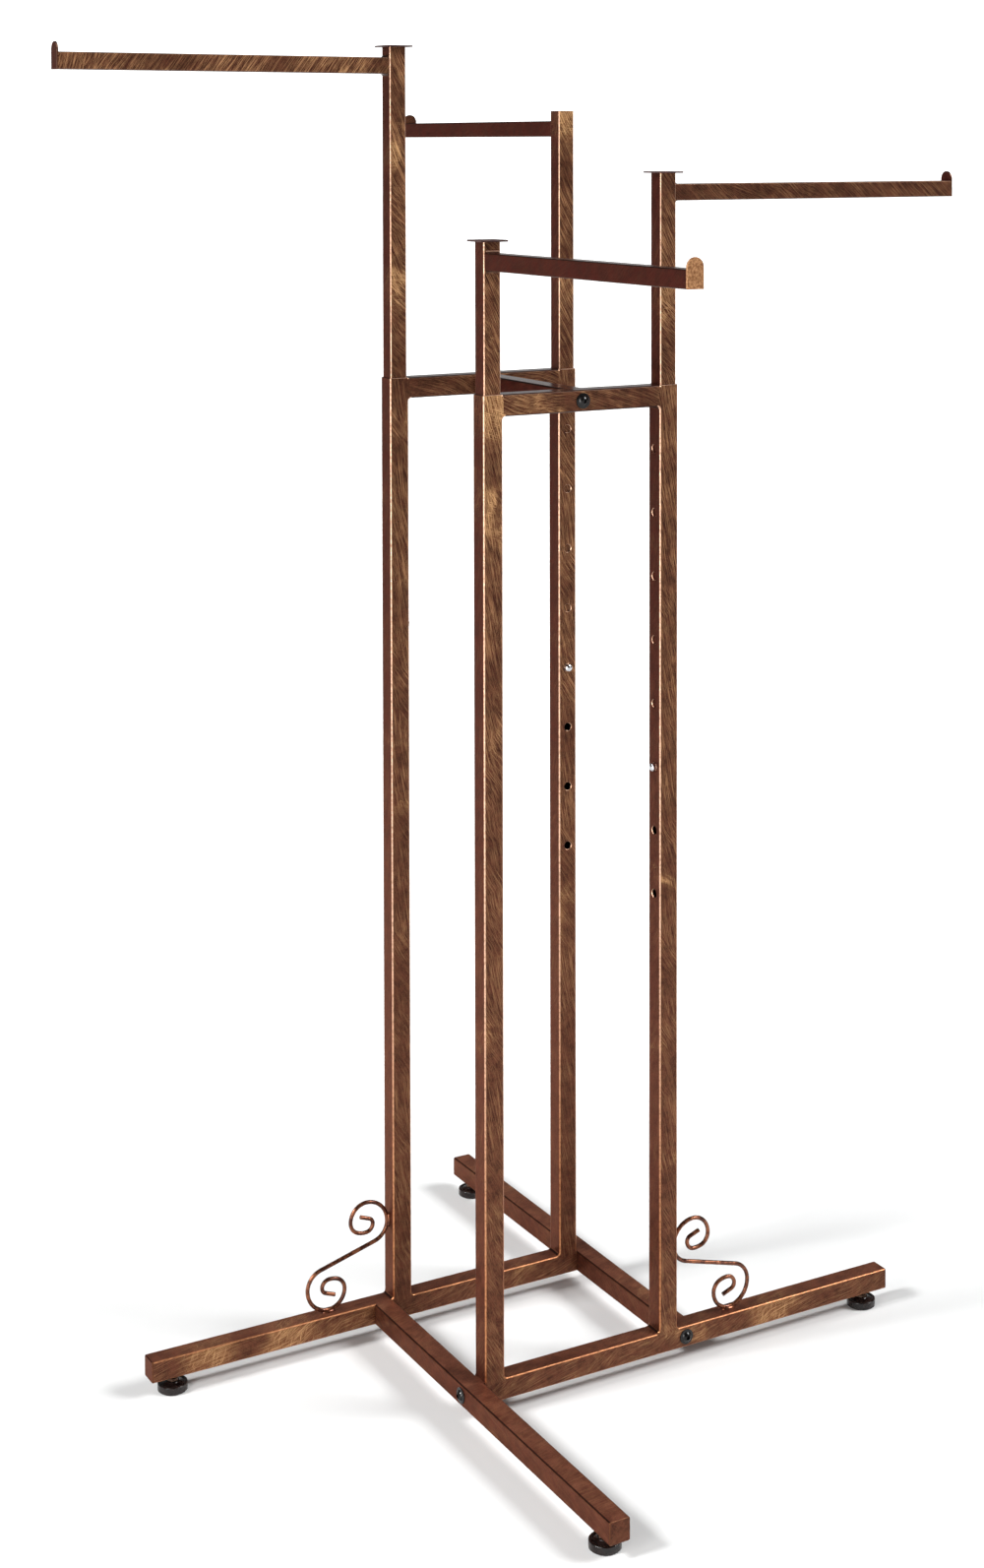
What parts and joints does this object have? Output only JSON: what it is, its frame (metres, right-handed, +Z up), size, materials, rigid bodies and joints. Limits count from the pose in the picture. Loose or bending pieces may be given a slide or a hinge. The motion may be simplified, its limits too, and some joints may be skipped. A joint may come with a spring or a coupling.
{
  "type": "four way clothing rack",
  "caption": "Free-standing garment rack: telescoping square uprights with straight hanging arms on a bolted pinwheel base of square tube with scroll braces and levelling feet",
  "frame": {"origin": "on the floor at the middle of the base, under the middle of the four posts", "axes": "+Z up, +X to the right along the front frame, +Y from the front frame to the back frame"},
  "size_m": [1.0944, 1.0944, 1.5878],
  "materials": {
    "coated_steel": "satin translucent copper-brown coat over brushed steel",
    "black_bolt": "gloss black",
    "zinc_steel": "zinc plated",
    "spring_steel": "blued spring strip",
    "button_chrome": "bright nickel",
    "black_plastic": "gloss moulded"
  },
  "bodies": {
    "frame": {"post_front_right": "coated_steel", "post_back_right": "coated_steel", "post_back_left": "coated_steel", "post_front_left": "coated_steel", "base_rail_front": "coated_steel", "base_rail_back": "coated_steel", "side_rail_right": "coated_steel", "side_rail_left": "coated_steel", "top_rail_front": "coated_steel", "top_rail_back": "coated_steel", "top_crossbar": "coated_steel", "leg_cap_right": "coated_steel", "leg_cap_back": "coated_steel", "leg_cap_left": "coated_steel", "leg_cap_front": "coated_steel", "frame_bolts": "black_bolt", "end_inserts": "zinc_steel", "foot_sockets": "zinc_steel", "scroll_right": "coated_steel", "scroll_left": "coated_steel"},
    "upright_front_right": {"slider_front_right": "coated_steel", "arm_front_right": "coated_steel", "arm_stop_front_right": "coated_steel", "top_plate_front_right": "coated_steel", "snap_spring_front_right": "spring_steel"},
    "button_front_right": {"snap_button_front_right": "button_chrome"},
    "upright_back_right": {"slider_back_right": "coated_steel", "arm_back_right": "coated_steel", "arm_stop_back_right": "coated_steel", "top_plug_back_right": "coated_steel", "snap_spring_back_right": "spring_steel"},
    "button_back_right": {"snap_button_back_right": "button_chrome"},
    "upright_back_left": {"slider_back_left": "coated_steel", "arm_back_left": "coated_steel", "arm_stop_back_left": "coated_steel", "top_plate_back_left": "coated_steel", "snap_spring_back_left": "spring_steel"},
    "button_back_left": {"snap_button_back_left": "button_chrome"},
    "upright_front_left": {"slider_front_left": "coated_steel", "arm_front_left": "coated_steel", "arm_stop_front_left": "coated_steel", "top_plate_front_left": "coated_steel", "snap_spring_front_left": "spring_steel"},
    "button_front_left": {"snap_button_front_left": "button_chrome"},
    "pad_right_leg": {"foot_pad_right_leg": "black_plastic"},
    "stud_right_leg": {"foot_stud_right_leg": "zinc_steel"},
    "pad_back_leg": {"foot_pad_back_leg": "black_plastic"},
    "stud_back_leg": {"foot_stud_back_leg": "zinc_steel"},
    "pad_left_leg": {"foot_pad_left_leg": "black_plastic"},
    "stud_left_leg": {"foot_stud_left_leg": "zinc_steel"},
    "pad_front_leg": {"foot_pad_front_leg": "black_plastic"},
    "stud_front_leg": {"foot_stud_front_leg": "zinc_steel"}
  },
  "joints": [
    {"name": "height_front_right", "type": "slide", "parent": "frame", "child": "upright_front_right", "axis": [0, 0, 1], "range_m": [-0.1524, 0.381], "stiffness_N_per_m": 20000, "deforming": ["snap_spring_front_right", "snap_button_front_right"]},
    {"name": "snap_front_right", "type": "slide", "parent": "upright_front_right", "child": "button_front_right", "axis": [1, 0, 0], "range_m": [0, 0.0078], "stiffness_N_per_m": 800, "springref_m": -0.004, "deforming": ["snap_spring_front_right"]},
    {"name": "height_back_right", "type": "slide", "parent": "frame", "child": "upright_back_right", "axis": [0, 0, 1], "range_m": [-0.2286, 0.3048], "stiffness_N_per_m": 20000, "deforming": ["snap_spring_back_right", "snap_button_back_right"]},
    {"name": "snap_back_right", "type": "slide", "parent": "upright_back_right", "child": "button_back_right", "axis": [0, 1, 0], "range_m": [0, 0.0078], "stiffness_N_per_m": 800, "springref_m": -0.004, "deforming": ["snap_spring_back_right"]},
    {"name": "height_back_left", "type": "slide", "parent": "frame", "child": "upright_back_left", "axis": [0, 0, 1], "range_m": [-0.3048, 0.2286], "stiffness_N_per_m": 20000, "deforming": ["snap_spring_back_left", "snap_button_back_left"]},
    {"name": "snap_back_left", "type": "slide", "parent": "upright_back_left", "child": "button_back_left", "axis": [-1, 0, 0], "range_m": [0, 0.0078], "stiffness_N_per_m": 800, "springref_m": -0.004, "deforming": ["snap_spring_back_left"]},
    {"name": "height_front_left", "type": "slide", "parent": "frame", "child": "upright_front_left", "axis": [0, 0, 1], "range_m": [-0.0762, 0.4572], "stiffness_N_per_m": 20000, "deforming": ["snap_spring_front_left", "snap_button_front_left"]},
    {"name": "snap_front_left", "type": "slide", "parent": "upright_front_left", "child": "button_front_left", "axis": [0, -1, 0], "range_m": [0, 0.0078], "stiffness_N_per_m": 800, "springref_m": -0.004, "deforming": ["snap_spring_front_left"]},
    {"name": "level_right_leg", "type": "slide", "parent": "frame", "child": "pad_right_leg", "axis": [0, 0, 1], "range_m": [-0.012, 0.002], "stiffness_N_per_m": 20000},
    {"name": "turn_right_leg", "type": "hinge", "parent": "pad_right_leg", "child": "stud_right_leg", "pos_m": [0.416, -0.1187, 0.0068], "axis": [0, 0, 1], "range_deg": [-3470, 590], "stiffness_Nm_per_rad": 0.15},
    {"name": "level_back_leg", "type": "slide", "parent": "frame", "child": "pad_back_leg", "axis": [0, 0, 1], "range_m": [-0.012, 0.002], "stiffness_N_per_m": 20000},
    {"name": "turn_back_leg", "type": "hinge", "parent": "pad_back_leg", "child": "stud_back_leg", "pos_m": [0.1441, 0.416, 0.0068], "axis": [0, 0, 1], "range_deg": [-3470, 590], "stiffness_Nm_per_rad": 0.15},
    {"name": "level_left_leg", "type": "slide", "parent": "frame", "child": "pad_left_leg", "axis": [0, 0, 1], "range_m": [-0.012, 0.002], "stiffness_N_per_m": 20000},
    {"name": "turn_left_leg", "type": "hinge", "parent": "pad_left_leg", "child": "stud_left_leg", "pos_m": [-0.416, 0.1187, 0.0068], "axis": [0, 0, 1], "range_deg": [-3470, 590], "stiffness_Nm_per_rad": 0.15},
    {"name": "level_front_leg", "type": "slide", "parent": "frame", "child": "pad_front_leg", "axis": [0, 0, 1], "range_m": [-0.012, 0.002], "stiffness_N_per_m": 20000},
    {"name": "turn_front_leg", "type": "hinge", "parent": "pad_front_leg", "child": "stud_front_leg", "pos_m": [-0.1441, -0.416, 0.0068], "axis": [0, 0, 1], "range_deg": [-3470, 590], "stiffness_Nm_per_rad": 0.15}
  ],
  "couplings": [
    {"joint": "turn_right_leg", "follows": "level_right_leg", "rad_per_m": 5026.5},
    {"joint": "turn_back_leg", "follows": "level_back_leg", "rad_per_m": 5026.5},
    {"joint": "turn_left_leg", "follows": "level_left_leg", "rad_per_m": 5026.5},
    {"joint": "turn_front_leg", "follows": "level_front_leg", "rad_per_m": 5026.5}
  ]
}
